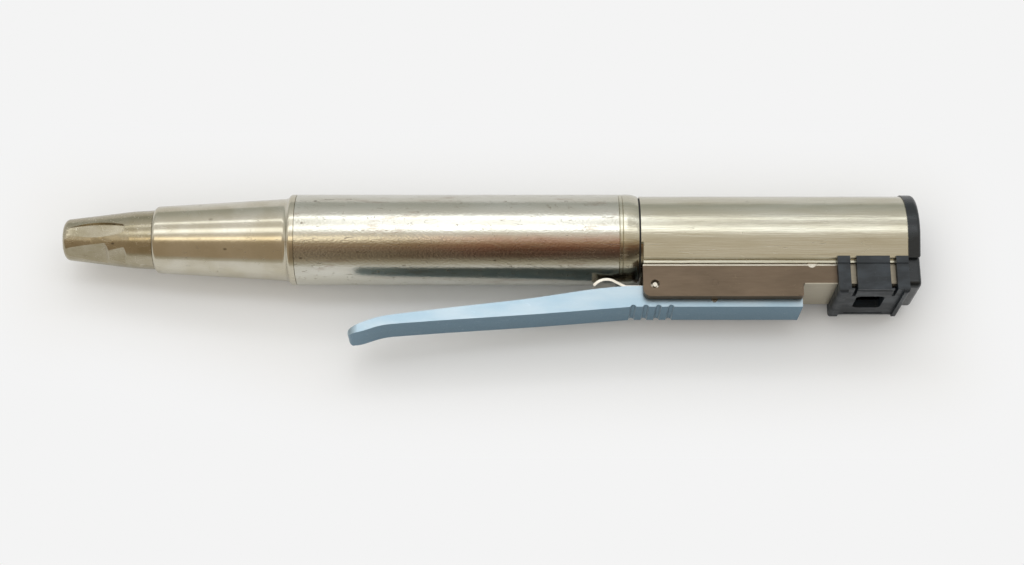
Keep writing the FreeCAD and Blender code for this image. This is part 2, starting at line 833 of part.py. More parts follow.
def topBevel(side):
    rise = plateBevelRise
    depth = plateBevelDepth
    outer = side * (plateOuter + depth)
    corners = [(bracketTopV - rise, side * (plateOuter - 2 * depth)), (bracketTopV - rise, outer),
               (bracketTopV + 2 * rise, outer)]
    return endPrism(corners, bracketStart - rise, bracketEnd + rise)


def bracket():
    body = bracketCheek(plateInner, plateOuter).fuse(bracketCheek(-plateOuter, -plateInner))
    body = body.fuse(block(bracketStart, bracketEnd, padV, padV + webThick, -plateInner, plateInner))
    keelFront = bracketStepX + freeGap
    body = body.fuse(block(keelFront, bracketEnd, padV, keelBottomV, -plateInner, plateInner))
    body = body.removeSplitter().cut(topBevel(1)).cut(topBevel(-1))
    body = body.cut(crossRod(pivotX, pivotV, pivotHole, far))
    body = body.cut(crossRod(stopPinX, stopPinV, stopPinRadius + nestGap, far))
    body = body.cut(block(windowX[0], windowX[1], keelPocketV, far, -windowHalf, windowHalf))
    for x in bracketScrewX:
        body = body.cut(downRod(x, 0, far, screwShankRadius + nestGap))
        body = body.cut(downRod(x, padV + webThick - screwHeadDepth, far, screwHeadRadius + nestGap))
    screwEnd = bracketEnd - capScrewLength
    for w in (-capScrewW, capScrewW):
        body = body.cut(rod(screwEnd, bracketEnd, capScrewShank + nestGap, capScrewV, w))
    return body


def bracketScrews():
    webV = padV + webThick
    headTop = webV - screwHeadDepth
    screws = []
    for x in bracketScrewX:
        head = downRod(x, headTop, webV, screwHeadRadius)
        head = head.cut(block(x - far, x + far, webV - screwSlotDepth, far, -screwSlotHalf, screwSlotHalf))
        screws.append(head.fuse(downRod(x, headTop - screwLength, headTop, screwShankRadius)))
    return Part.makeCompound(screws)


def pivotPin():
    middle = crossRod(pivotX, pivotV, pivotPinRadius, plateOuter - pivotPinRecess - pivotRingDepth)
    ends = crossRod(pivotX, pivotV, pivotPinRadius - pivotPinStep, plateOuter - pivotPinRecess)
    return middle.fuse(ends).removeSplitter()


def stopPin():
    return crossRod(stopPinX, stopPinV, stopPinRadius, plateOuter)


def detentPins():
    starts = (plateInner + detentInset, -plateInner - detentInset - detentLength)
    pins = [Part.makeCylinder(notchRadius - nestGap, detentLength, FreeCAD.Vector(notchX, -bracketTopV, w),
                              zAxis) for w in starts]
    keep = block(notchX - notchRadius, notchX + notchRadius, bracketTopV - detentTop, far, -far, far)
    return Part.makeCompound([pin.common(keep) for pin in pins])


# Thumb lever: curved strip that kicks outwards at the tip
def curve(points):
    line = Part.BSplineCurve()
    line.interpolate(points)
    return line.toShape()


def leverPoint(reach, drop):
    return FreeCAD.Vector(pivotX - reach, -pivotV - drop, 0)


def thumbLever():
    outerPoints = [leverPoint(*pair) for pair in leverOuter]
    outerPoints.append(FreeCAD.Vector(pivotX - outerBlendReach, -tailOuterV, 0))
    innerPoints = [leverPoint(*pair) for pair in leverInner]
    tail = [innerPoints[-1], FreeCAD.Vector(pivotX + tailBlendReach, -tailInnerV, 0),
            FreeCAD.Vector(tailEnd, -tailInnerV, 0), FreeCAD.Vector(tailEnd, -tailOuterV, 0),
            outerPoints[-1]]
    edges = [Part.makeLine(tail[i], tail[i + 1]) for i in range(len(tail) - 1)]
    edges += [curve(innerPoints), curve(outerPoints)]
    edges.append(Part.Arc(outerPoints[0], leverPoint(*leverNose), innerPoints[0]).toShape())
    face = Part.Face(Part.Wire(Part.__sortEdges__(edges)))
    face.translate(FreeCAD.Vector(0, 0, -leverHalf))
    body = face.extrude(FreeCAD.Vector(0, 0, 2 * leverHalf)).common(leverPlan())
    body = body.fuse(crossRod(pivotX, pivotV, pivotBossRadius, leverHalf)).removeSplitter()
    body = body.cut(crossRod(pivotX, pivotV, pivotPinRadius + slideGap, far))
    grooveRadius = ((gripGrooveWidth / 2) ** 2 + gripGrooveDepth ** 2) / (2 * gripGrooveDepth)
    for i in range(gripGrooves):
        grooveX = pivotX - gripReach + i * gripGroovePitch
        body = body.cut(crossRod(grooveX, tailOuterV + grooveRadius - gripGrooveDepth, grooveRadius, far))
    body = body.cut(downRod(magnetX, 0, tailInnerV + magnetThick, magnetRadius + nestGap))
    body = body.cut(crossRod(stopPinX, bracketBottomV, crossPinRadius + nestGap, far))
    return body.cut(downRod(leafScrewX, 0, leafEndV + leafScrewLength, leafScrewShank + nestGap))


def leverPlan():
    tipX = pivotX - leverNose[0]
    plan = block(tipX, tailEnd, 0, far, -leverHalf, leverHalf)
    return plan.makeFillet(leverTipRound, edgesWhere(plan, lambda b: near(b.XMax, tipX) and b.YLength > 1))


def leverMagnet():
    return downRod(magnetX, tailInnerV, tailInnerV + magnetThick, magnetRadius)


def leverCrossPin():
    return crossRod(stopPinX, bracketBottomV, crossPinRadius, leverHalf + crossPinProud)


# Leaf spring: an arch that bears on the barrel, with its foot screwed under the lever
def leafSpring():
    half = leafThick / 2
    apexV = barrelRadius + nestGap + half
    free = FreeCAD.Vector(leafApexX - leafArchHalf, -leafEndV, 0)
    apex = FreeCAD.Vector(leafApexX, -apexV, 0)
    arch = Part.Arc(free, apex, FreeCAD.Vector(leafApexX + leafArchHalf, -leafEndV, 0))
    last = arch.value(arch.FirstParameter + leafArchShare * (arch.LastParameter - arch.FirstParameter))
    foot = FreeCAD.Vector(pivotX - leafFootReach, -leafEndV - half, 0)
    end = FreeCAD.Vector(pivotX - leafEndReach, -leafEndV - half, 0)
    path = Part.Wire([Part.Arc(free, apex, last).toShape(), Part.makeLine(last, foot),
                      Part.makeLine(foot, end)])
    tangent = path.Edges[0].tangentAt(path.Edges[0].FirstParameter)
    across = tangent.cross(zAxis) * half
    side = FreeCAD.Vector(0, 0, leafHalf)
    corners = [free + across + side, free + across - side, free - across - side, free - across + side]
    strip = path.makePipeShell([Part.makePolygon(corners + corners[:1])], True, False, 1)
    return strip.cut(downRod(leafScrewX, 0, far, leafScrewShank + nestGap))


def leafScrew():
    head = downRod(leafScrewX, leafEndV - leafScrewHeadThick, leafEndV, leafScrewHead)
    shank = downRod(leafScrewX, leafEndV, leafEndV + leafScrewLength, leafScrewShank)
    return head.fuse(shank).removeSplitter()


# Clip block: a moulded saddle round the keel with a snap tab between two slots
def clipHalfOutline(side):
    inner = plateOuter + slideGap
    floor = keelBottomV + slideGap
    lip0, lip1 = clipLipV
    lipInner = flankAt(housingRadius, lip0) + nestGap
    railInner = railHalf + nestGap
    corners = [(railV + nestGap, inner), (railV + nestGap, railInner), (ledgeV + nestGap, railInner),
               (ledgeV + nestGap, lipInner), (lip0, lipInner), (lip0, clipLipHalf), (lip1, clipLipHalf),
               (lip1, clipHalf), (clipBottomV, clipHalf), (clipBottomV, 0), (floor, 0), (floor, inner)]
    return [(v, side * w) for v, w in corners]


def clipBlock():
    x0, x1 = clipX
    halves = [endPrism(clipHalfOutline(side), x0, x1) for side in (1, -1)]
    body = halves[0].fuse(halves[1]).removeSplitter()
    bottom = edgesWhere(body, lambda b: near(b.YMin, -clipBottomV) and near(b.YMax, -clipBottomV))
    body = body.makeFillet(clipRound, bottom)
    body = body.cut(block(clipRimX[0], clipRimX[1], clipBottomV - clipRimRise, far, -far, far))
    deep = clipHalf - clipSlotInset
    landV = clipBottomV - clipRimRise - clipSlotLandV
    for start in clipSlotX:
        s0 = clipX[0] + start
        s1 = s0 + clipSlotWidth
        for side in (-1, 1):
            low, high = sorted((side * plateOuter, side * far))
            body = body.cut(block(s0, s1, 0, landV, low, high))
            low, high = sorted((side * deep, side * far))
            body = body.cut(block(s0, s1, keelBottomV, landV, low, high))
        body = body.cut(block((s0 + s1) / 2, s1, keelBottomV, far, deep, far))
    tab0 = clipX[0] + clipSlotX[0] + clipSlotWidth / 2
    tab1 = clipX[0] + clipSlotX[1] + clipSlotWidth / 2
    grooveV = clipBottomV - clipRimRise - tabGroove
    for side in (-1, 1):
        low, high = sorted((side * (clipHalf - clipRound), side * (clipHalf - clipRound - tabGroove)))
        body = body.cut(block(tab0, tab1, grooveV, far, low, high))
    window = block(windowX[0], windowX[1], 0, far, -windowHalf, windowHalf)
    window = window.makeFillet(windowCorner, edgesWhere(window, lambda b: b.YLength > 1 and b.XLength < 0.1
                                                        and b.ZLength < 0.1))
    return body.cut(window)


# Sensor board and connector
def sensorBoard():
    return block(boardX[0], boardX[1], boardV[0], boardV[1], -boardHalf, boardHalf)


def sensorChips():
    length, height, width = chipSize
    return Part.makeCompound([block(x - length / 2, x + length / 2, boardV[1], boardV[1] + height,
                                    -width / 2, width / 2) for x in chipX])


def connectorInsert():
    body = rod(connectorX[0], connectorX[1], housingBore - nestGap)
    for hole in ringOf(rod(connectorX[0], connectorX[1], contactHole, contactCircle), contactCount):
        body = body.cut(hole)
    return body.cut(rod(connectorX[1] - contactDepth, connectorX[1], contactRecess))


def connectorContacts():
    pin = rod(connectorX[0] - contactTail, connectorX[1] - contactDepth, contactRadius, contactCircle)
    return Part.makeCompound(ringOf(pin, contactCount))


# End cap with the cord socket
def endCap():
    body = shellOutline(housingEnd, capEnd, capRadius, capLedgeV)
    foot = block(housingEnd, capEnd, 0, capBottomV, -capLowerHalf, capLowerHalf)
    foot = foot.makeFillet(capCorner, edgesWhere(foot, lambda b: near(b.YMin, -capBottomV) and
                                                 b.XLength > 1 and b.ZLength < 0.1))
    body = body.fuse(foot).removeSplitter()
    rear = edgesWhere(body, lambda b: near(b.XMin, capEnd) and near(b.XMax, capEnd))
    body = body.makeFillet(capRound, rear)
    body = body.fuse(rod(capBossX, housingEnd, capBossRadius))
    body = body.fuse(rod(capEnd - rimRoot, rimEnd, cordRimRadius))
    body = body.removeSplitter().cut(rod(capBossX, rimEnd, cordBore))
    for w in (-capScrewW, capScrewW):
        body = body.cut(rod(housingEnd, capEnd, capScrewShank + nestGap, capScrewV, w))
        body = body.cut(rod(capEnd - screwHeadDepth, capEnd, capScrewHead + nestGap, capScrewV, w))
    return body


def capScrews():
    top = capEnd - capScrewSunk
    screws = []
    for w in (-capScrewW, capScrewW):
        head = rod(capEnd - screwHeadDepth, top, capScrewHead, capScrewV, w)
        slot = block(top - capScrewSlot, capEnd, capScrewV - screwSlotHalf, capScrewV + screwSlotHalf,
                     w - far, w + far)
        shankEnd = bracketEnd - capScrewLength + capScrewBottomGap
        shank = rod(shankEnd, capEnd - screwHeadDepth, capScrewShank, capScrewV, w)
        screws.append(head.cut(slot).fuse(shank).removeSplitter())
    return Part.makeCompound(screws)


parts = {
    "collet_collar": colletCollar(),
    "collar_spring": collarSpring(),
    "nose_cone": noseCone(),
    "front_bush": bush(frontBush),
    "rear_bush": bush(rearBush),
    "nose_seal": noseSeal(),
    "guide_key": guideKey(),
    "blade_spindle": bladeSpindle(),
    "lock_pin": lockPin(),
    "drive_yoke": driveYoke(),
    "follower_pin": followerPin(),
    "cam_drum": camDrum(),
    "drum_bearing_front": bearing(drumBearings[0], drumBearingWidth, drumBearingRadius,
                                  drumShaftRadius + runGap),
    "drum_bearing_rear": bearing(drumBearings[1], drumBearingWidth, drumBearingRadius,
                                 drumShaftRadius + runGap),
    "gear_case": gearCase(),
    "planet_carrier": planetCarrier(),
    "planet_pins": planetPins(),
    "sun_pinion": sunPinion(),
    "ring_gear": ringGear(),
    "motor_can": motorCan(),
    "motor_front_plate": motorPlate(motorX[0]),
    "motor_rear_plate": motorPlate(motorX[1] - plateThick),
    "motor_front_bearing": motorBearing(motorX[0]),
    "motor_rear_bearing": motorBearing(motorX[1] - plateThick),
    "stator_stack": statorStack(),
    "stator_windings": statorWindings(),
    "rotor_shaft": rotorShaft(),
    "rotor_magnet": rotorMagnet(),
    "motor_leads": motorLeads(),
    "barrel": barrel(),
    "retaining_ring": retainingRing(),
    "gasket": gasket(),
    "rear_housing": rearHousing(),
    "lever_bracket": bracket(),
    "bracket_screws": bracketScrews(),
    "pivot_pin": pivotPin(),
    "stop_pin": stopPin(),
    "detent_pins": detentPins(),
    "thumb_lever": thumbLever(),
    "lever_magnet": leverMagnet(),
    "lever_cross_pin": leverCrossPin(),
    "leaf_spring": leafSpring(),
    "leaf_screw": leafScrew(),
    "clip_block": clipBlock(),
    "sensor_board": sensorBoard(),
    "sensor_chips": sensorChips(),
    "connector_insert": connectorInsert(),
    "connector_contacts": connectorContacts(),
    "end_cap": endCap(),
    "cap_screws": capScrews(),
}
for index in range(planetCount):
    parts["planet_gear_%d" % (index + 1)] = planetGear(index)

os.makedirs("parts", exist_ok=True)
for name, shape in parts.items():
    shape.exportStep("parts/%s.step" % name)
    print(name, len(shape.Solids), round(shape.Volume, 2), shape.isValid())
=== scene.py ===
import math

import bpy
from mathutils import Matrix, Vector


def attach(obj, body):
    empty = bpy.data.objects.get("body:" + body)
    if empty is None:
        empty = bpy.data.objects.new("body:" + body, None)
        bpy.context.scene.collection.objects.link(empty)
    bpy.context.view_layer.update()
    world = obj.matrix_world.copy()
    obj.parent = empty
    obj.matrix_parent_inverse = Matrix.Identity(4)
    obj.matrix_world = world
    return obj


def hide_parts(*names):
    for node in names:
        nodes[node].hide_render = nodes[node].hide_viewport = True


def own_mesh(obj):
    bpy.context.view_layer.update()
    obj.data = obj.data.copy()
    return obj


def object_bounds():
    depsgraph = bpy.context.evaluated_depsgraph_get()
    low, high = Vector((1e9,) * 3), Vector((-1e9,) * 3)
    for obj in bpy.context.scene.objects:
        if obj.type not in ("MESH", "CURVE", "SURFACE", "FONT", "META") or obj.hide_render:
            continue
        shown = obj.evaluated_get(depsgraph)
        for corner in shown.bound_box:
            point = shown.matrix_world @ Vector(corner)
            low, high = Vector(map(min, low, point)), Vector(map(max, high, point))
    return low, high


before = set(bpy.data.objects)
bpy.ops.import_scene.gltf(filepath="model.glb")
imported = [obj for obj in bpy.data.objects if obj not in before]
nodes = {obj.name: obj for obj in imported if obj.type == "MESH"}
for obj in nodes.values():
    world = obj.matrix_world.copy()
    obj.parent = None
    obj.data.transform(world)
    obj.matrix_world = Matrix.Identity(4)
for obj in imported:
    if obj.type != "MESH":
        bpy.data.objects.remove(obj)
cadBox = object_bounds()
print("frame loaded:", len(nodes), "pieces")

mm = 0.001


def linear(code):
    # sRGB hex to the linear colour that the shader wants
    channels = [int(code[i:i + 2], 16) / 255 for i in (0, 2, 4)]
    return [c / 12.92 if c <= 0.04045 else ((c + 0.055) / 1.055) ** 2.4 for c in channels] + [1.0]


def addNode(tree, kind, links=None, **settings):
    # one shader node, its settings, and what goes into its sockets
    node = tree.nodes.new("ShaderNode" + kind)
    for key, value in settings.items():
        setattr(node, key, value)
    for socket, value in (links or {}).items():
        if isinstance(value, bpy.types.NodeSocket):
            tree.links.new(value, node.inputs[socket])
        else:
            node.inputs[socket].default_value = value
    return node


def newFinish(name):
    material = bpy.data.materials.new(name)
    material.use_nodes = True
    tree = material.node_tree
    tree.nodes.clear()
    output = addNode(tree, "OutputMaterial")
    place = addNode(tree, "TexCoord").outputs["Object"]
    return material, tree, output, place


def stretched(tree, place, pitch):
    # noise cells of the given size in mm along X, Y and Z
    scale = [1 / (p * mm) for p in pitch]
    return addNode(tree, "Mapping", {"Vector": place, "Scale": scale}, vector_type="POINT").outputs[0]


def cloud(tree, place, pitch, detail=2.0, roughness=0.5):
    vector = stretched(tree, place, pitch)
    return addNode(tree, "TexNoise", {"Vector": vector, "Scale": 1.0, "Detail": detail,
                                      "Roughness": roughness}).outputs["Fac"]


def ramped(tree, value, low, high, toLow=0.0, toHigh=1.0):
    return addNode(tree, "MapRange", {0: value, 1: low, 2: high, 3: toLow, 4: toHigh},
                   clamp=True, interpolation_type="SMOOTHSTEP").outputs[0]


def mixed(tree, factor, a, b, blend="MIX"):
    return addNode(tree, "Mix", {0: factor, 6: a, 7: b}, data_type="RGBA", blend_type=blend).outputs[2]


def maths(tree, operation, a, b=0.0, c=0.0):
    return addNode(tree, "Math", {0: a, 1: b, 2: c}, operation=operation).outputs[0]


def hairlines(tree, place, pitch, width, share):
    # thin curved scratches: the line where a stretched noise crosses its middle value, kept in some patches
    middle, core, patchScale, patchEdge = 0.5, 0.3, 0.9, 0.04
    line = cloud(tree, place, pitch, 1.0)
    off = maths(tree, "ABSOLUTE", maths(tree, "SUBTRACT", line, middle))
    patch = cloud(tree, place, [p * patchScale for p in pitch], 2.0)
    here = ramped(tree, patch, share, share + patchEdge)
    return maths(tree, "MULTIPLY", ramped(tree, off, width, width * core), here)


def nicks(tree, place, pitch, size, share):
    # small dents and specks of dirt: the hearts of a few cells out of many
    core, lotEdge = 0.4, 0.02
    cells = addNode(tree, "TexVoronoi", {"Vector": stretched(tree, place, pitch), "Scale": 1.0})
    heart = ramped(tree, cells.outputs["Distance"], size, size * core)
    lot = addNode(tree, "SeparateColor", {0: cells.outputs["Color"]}).outputs[0]
    return maths(tree, "MULTIPLY", heart, ramped(tree, lot, 1 - share, 1 - share + lotEdge))


metalWear = {
    # what all the metals share: the detail and roughness of their noises, how soft patches and stains end,
    # and what stains, scratches and nicks do to the gloss and, in mm, to the surface
    "grainDetail": (3.0, 0.6), "rippleDetail": 2.0, "patchDetail": 2.0, "stainDetail": (4.0, 0.65),
    "patchEdges": (0.3, 0.7), "stainEdge": 0.16, "stainRough": 0.12,
    "scratchWidth": 0.01, "scratchRough": 0.15, "scratchDepth": 0.003,
    "nickHeart": 0.22, "nickTone": 0.7, "nickDepth": 0.01,
}


# Stainless steel, machined: a metal whose colour is pale and slightly yellow. How it was worked sets
# the direction of the fine lines: turned parts have rings, ground and brushed parts have long lines.
# The lines of the real parts are finer than the picture shows, so they are drawn 0.2 to 0.5 mm apart.
def workedSteel(name, look):
    wear = metalWear
    material, tree, output, place = newFinish(name)
    grain = cloud(tree, place, look["grain"], *wear["grainDetail"])
    ripple = cloud(tree, place, look["ripple"], wear["rippleDetail"])
    soft = cloud(tree, place, look["patches"], wear["patchDetail"])
    worn = ramped(tree, soft, *wear["patchEdges"])
    colour = mixed(tree, worn, linear(look["colour"]), linear(look["colourWorn"]))
    stainShape = cloud(tree, place, look["stainSize"], *wear["stainDetail"])
    stainFull = look["stainFrom"] + wear["stainEdge"]
    stain = ramped(tree, stainShape, look["stainFrom"], stainFull, 0.0, look["stain"])
    colour = mixed(tree, stain, colour, linear(look["stainColour"]))
    scratch = hairlines(tree, place, look["scratchSize"], wear["scratchWidth"], look["scratchShare"])
    colour = mixed(tree, maths(tree, "MULTIPLY", scratch, look["scratchTone"]), colour,
                   linear(look["scratchColour"]))
    speck = nicks(tree, place, look["nickSize"], wear["nickHeart"], look["nickShare"])
    dirt = maths(tree, "MULTIPLY", speck, wear["nickTone"])
    colour = mixed(tree, dirt, colour, linear(look["nickColour"]))
    if "bareEdgeHighlightColour" in look:
        colour = bareParts(tree, place, colour, look)
    if "reflectionTintColour" in look:
        colour = paintedWarmReflection(tree, place, stainShape, colour, look)
    rough = ramped(tree, grain, *wear["patchEdges"], *look["rough"])
    rough = maths(tree, "ADD", rough, maths(tree, "MULTIPLY", stain, wear["stainRough"]))
    rough = maths(tree, "ADD", rough, maths(tree, "MULTIPLY", scratch, wear["scratchRough"]))
    height = maths(tree, "MULTIPLY", grain, look["depth"])
    height = maths(tree, "ADD", height, maths(tree, "MULTIPLY", ripple, look["rippleDepth"]))
    height = maths(tree, "SUBTRACT", height, maths(tree, "MULTIPLY", scratch, wear["scratchDepth"]))
    height = maths(tree, "SUBTRACT", height, maths(tree, "MULTIPLY", speck, wear["nickDepth"]))
    normal = addNode(tree, "Bump", {"Strength": 1.0, "Distance": mm, "Height": height})
    shader = addNode(tree, "BsdfPrincipled", {"Base Color": colour, "Metallic": 1.0, "Roughness": rough,
                                              "Normal": normal.outputs[0]})
    tree.links.new(shader.outputs[0], output.inputs[0])
    return material


def bareParts(tree, place, colour, look):
    # where the brown tint is ground or rubbed off: the top edge of the plates, the foot of the keel and what
    # the clip rubs on. The top edge is lightened into a painted highlight as well, the bare steel under the
    # clip is darkened as painted shade, and the pocket under the window is painted near-black as painted
    # shade
    fine, soft = look["bareEdges"]
    at = addNode(tree, "SeparateXYZ", {0: place})
    # bare steel and painted highlight: the top edge of the plates is painted a light steel tone that stands
    # in for the highlight on its bevel
    edgeHighlight = ramped(tree, at.outputs["Y"], -(look["edgeDrop"] + fine) * mm, -look["edgeDrop"] * mm)
    colour = mixed(tree, edgeHighlight, colour, linear(look["bareEdgeHighlightColour"]))
    foot = ramped(tree, at.outputs["Y"], -(look["keelDrop"] - fine) * mm, -look["keelDrop"] * mm)
    behind = ramped(tree, at.outputs["X"], look["keelFrom"] * mm, (look["keelFrom"] + soft) * mm)
    # bare steel and painted shade: from the clip's front on, a darker bare tone paints the shade between the
    # clip's tabs
    underClipShade = ramped(tree, at.outputs["X"], look["clipFrom"] * mm, (look["clipFrom"] + soft) * mm)
    colour = mixed(tree, maths(tree, "MULTIPLY", foot, behind), colour, linear(look["keelColour"]))
    colour = mixed(tree, underClipShade, colour, linear(look["underClipShadeColour"]))
    # painted shade: the pocket under the window is painted near-black
    x0, x1, w, v = look["shadedPocket"]
    inX = maths(tree, "COMPARE", at.outputs["X"], (x0 + x1) / 2 * mm, (x1 - x0) / 2 * mm)
    inW = maths(tree, "COMPARE", at.outputs["Z"], 0.0, w * mm)
    inV = maths(tree, "COMPARE", at.outputs["Y"], -(v[0] + v[1]) / 2 * mm, (v[1] - v[0]) / 2 * mm)
    shadedPocket = maths(tree, "MULTIPLY", maths(tree, "MULTIPLY", inX, inW), inV)
    return mixed(tree, shadedPocket, colour, linear(look["pocketShadeColour"]))


def paintedWarmReflection(tree, place, shape, colour, look):
    # painted reflection: a warm pink tint multiplied into the near upper flank of the barrel, where it
    # reflects the warm near side of the room, patchy and thin to the front
    at = addNode(tree, "SeparateXYZ", {0: place})
    along = ramped(tree, at.outputs["X"], look["tintFrom"] * mm, look["tintTo"] * mm)
    low = ramped(tree, at.outputs["Y"], -look["tintLow"][0] * mm, -look["tintLow"][1] * mm)
    high = ramped(tree, at.outputs["Y"], -look["tintHigh"][0] * mm, -look["tintHigh"][1] * mm)
    top = ramped(tree, at.outputs["Z"], 0.0, mm)
    reflectionTint = maths(tree, "MULTIPLY", maths(tree, "MULTIPLY", along, low), maths(tree, "MULTIPLY", high, top))
    reflectionTint = maths(tree, "MULTIPLY", reflectionTint, ramped(tree, shape, *look["tintPatches"]))
    return mixed(tree, reflectionTint, colour, linear(look["reflectionTintColour"]), "MULTIPLY")


barrelLook = {
    # ground and polished tube: clear reflections, then years of wiping and handling
    "colour": "CAC8BE", "colourWorn": "C1BEB1", "grain": (30, 0.5, 0.5), "depth": 0.002,
    "ripple": (0.42, 0.34, 0.34), "rippleDepth": 0.02, "patches": (14, 5, 5),
    "stainSize": (7, 2, 2), "stainFrom": 0.55, "stain": 0.3, "stainColour": "86664C",
    # the tint below is a painted reflection of the warm near side of the room
    "tintFrom": 58.0, "tintTo": 84.0, "reflectionTintColour": "FADFDF", "tintLow": (1.6, 3.2), "tintHigh": (6.4, 5.4),
    "tintPatches": (0.3, 0.6, 0.55, 1.0),
    "scratchSize": (3.4, 1.0, 1.0), "scratchShare": 0.47, "scratchTone": 0.7, "scratchColour": "857C6B",
    "nickSize": (2.4, 1.3, 1.3), "nickShare": 0.1, "nickColour": "5E5444", "rough": (0.15, 0.22),
}
housingLook = {
    # brushed lengthwise to a satin, warm grey
    "colour": "C4C1B2", "colourWorn": "BAB5A2", "grain": (7, 0.28, 0.28), "depth": 0.018,
    "ripple": (3, 1.2, 1.2), "rippleDepth": 0.006, "patches": (18, 3, 3),
    "stainSize": (9, 4, 4), "stainFrom": 0.6, "stain": 0.12, "stainColour": "8C7F68",
    "scratchSize": (8, 1.5, 1.5), "scratchShare": 0.55, "scratchTone": 0.3, "scratchColour": "8C8473",
    "nickSize": (3, 2, 2), "nickShare": 0.06, "nickColour": "5E5444", "rough": (0.15, 0.27),
}
coneLook = {
    # fine-turned cone: rings round the axis, light wear
    "colour": "C6C1B2", "colourWorn": "BAB39F", "grain": (0.35, 8, 8), "depth": 0.0012,
    "ripple": (1.2, 0.8, 0.8), "rippleDepth": 0.003, "patches": (6, 6, 6),
    "stainSize": (8, 3, 3), "stainFrom": 0.58, "stain": 0.2, "stainColour": "A08C62",
    "scratchSize": (3, 1.2, 1.2), "scratchShare": 0.55, "scratchTone": 0.4, "scratchColour": "8C8473",
    "nickSize": (2.6, 1.6, 1.6), "nickShare": 0.08, "nickColour": "5E5444", "rough": (0.15, 0.2),
}
tipLook = {
    # collet collar, turned and milled, browner from heat and handling
    "colour": "ABA38F", "colourWorn": "9D947C", "grain": (0.3, 5, 5), "depth": 0.0015,
    "ripple": (1.0, 0.7, 0.7), "rippleDepth": 0.004, "patches": (4, 3, 3),
    "stainSize": (5, 2, 2), "stainFrom": 0.55, "stain": 0.25, "stainColour": "76654E",
    "scratchSize": (2.5, 0.9, 0.9), "scratchShare": 0.5, "scratchTone": 0.4, "scratchColour": "D8D2C2",
    "nickSize": (2.0, 1.2, 1.2), "nickShare": 0.1, "nickColour": "4A4138", "rough": (0.18, 0.25),
}
bracketLook = {
    # ground sheet with a brown tint, nearly matt
    "colour": "6B5D4E", "colourWorn": "635648", "grain": (2.5, 0.3, 0.3), "depth": 0.002,
    "ripple": (0.7, 0.5, 0.5), "rippleDepth": 0.003, "patches": (9, 3, 3),
    "stainSize": (5, 2, 2), "stainFrom": 0.6, "stain": 0.2, "stainColour": "655747",
    "scratchSize": (4, 1.0, 1.0), "scratchShare": 0.55, "scratchTone": 0.3, "scratchColour": "94866F",
    "nickSize": (3, 2, 2), "nickShare": 0.08, "nickColour": "4E4337", "rough": (0.42, 0.5),
    # the bare edge colour is a painted highlight as well as bare steel
    "bareEdgeHighlightColour": "E0DACA", "edgeDrop": 7.33, "keelColour": "B3AC9B", "keelFrom": 138.9, "keelDrop": 10.8,
    # the under-clip colour is darkened as painted shade
    "clipFrom": 146.0, "underClipShadeColour": "8F8777", "bareEdges": (0.05, 0.1),
    # the pocket colour is painted shade, near-black
    "shadedPocket": (148.8, 154.3, 3.4, (6.8, 10.9)), "pocketShadeColour": "100F0D",
}
springLook = {
    # hard-drawn wire and polished pins
    "colour": "CFC9BC", "colourWorn": "BDB6A8", "grain": (3, 0.3, 0.3), "depth": 0.001,
    "ripple": (1, 1, 1), "rippleDepth": 0.002, "patches": (3, 2, 2),
    "stainSize": (2, 1, 1), "stainFrom": 0.6, "stain": 0.3, "stainColour": "8A7658",
    "scratchSize": (2, 0.6, 0.6), "scratchShare": 0.6, "scratchTone": 0.3, "scratchColour": "8C8473",
    "nickSize": (2, 1, 1), "nickShare": 0.06, "nickColour": "5E5444", "rough": (0.16, 0.24),
}
innerLook = {
    # ground gear and shaft steel with an oil film
    "colour": "B9B9BC", "colourWorn": "A9A9AD", "grain": (0.3, 2, 2), "depth": 0.001,
    "ripple": (1, 1, 1), "rippleDepth": 0.002, "patches": (4, 3, 3),
    "stainSize": (3, 2, 2), "stainFrom": 0.6, "stain": 0.3, "stainColour": "7C7468",
    "scratchSize": (2, 0.8, 0.8), "scratchShare": 0.6, "scratchTone": 0.3, "scratchColour": "8C8473",
    "nickSize": (2, 1, 1), "nickShare": 0.05, "nickColour": "5E5A52", "rough": (0.22, 0.32),
}
coreLook = {
    # stack of punched electrical sheet: the edges of the sheets show as rings 0.35 mm apart
    "colour": "6F7276", "colourWorn": "5F6266", "grain": (0.35, 20, 20), "depth": 0.02,
    "ripple": (1, 1, 1), "rippleDepth": 0.002, "patches": (4, 3, 3),
    "stainSize": (3, 2, 2), "stainFrom": 0.55, "stain": 0.4, "stainColour": "4A3F36",
    "scratchSize": (2, 0.8, 0.8), "scratchShare": 0.7, "scratchTone": 0.2, "scratchColour": "8C8473",
    "nickSize": (2, 1, 1), "nickShare": 0.05, "nickColour": "3A3632", "rough": (0.35, 0.5),
}
magnetLook = {
    # nickel-plated magnet: bright, faintly uneven plating
    "colour": "C9C6BF", "colourWorn": "BDB9B0", "grain": (1, 1, 1), "depth": 0.001,
    "ripple": (1, 1, 1), "rippleDepth": 0.002, "patches": (3, 3, 3),
    "stainSize": (2, 2, 2), "stainFrom": 0.65, "stain": 0.2, "stainColour": "8A8272",
    "scratchSize": (1.5, 0.8, 0.8), "scratchShare": 0.62, "scratchTone": 0.3, "scratchColour": "8C8473",
    "nickSize": (2, 1, 1), "nickShare": 0.05, "nickColour": "5E5A52", "rough": (0.12, 0.2),
}
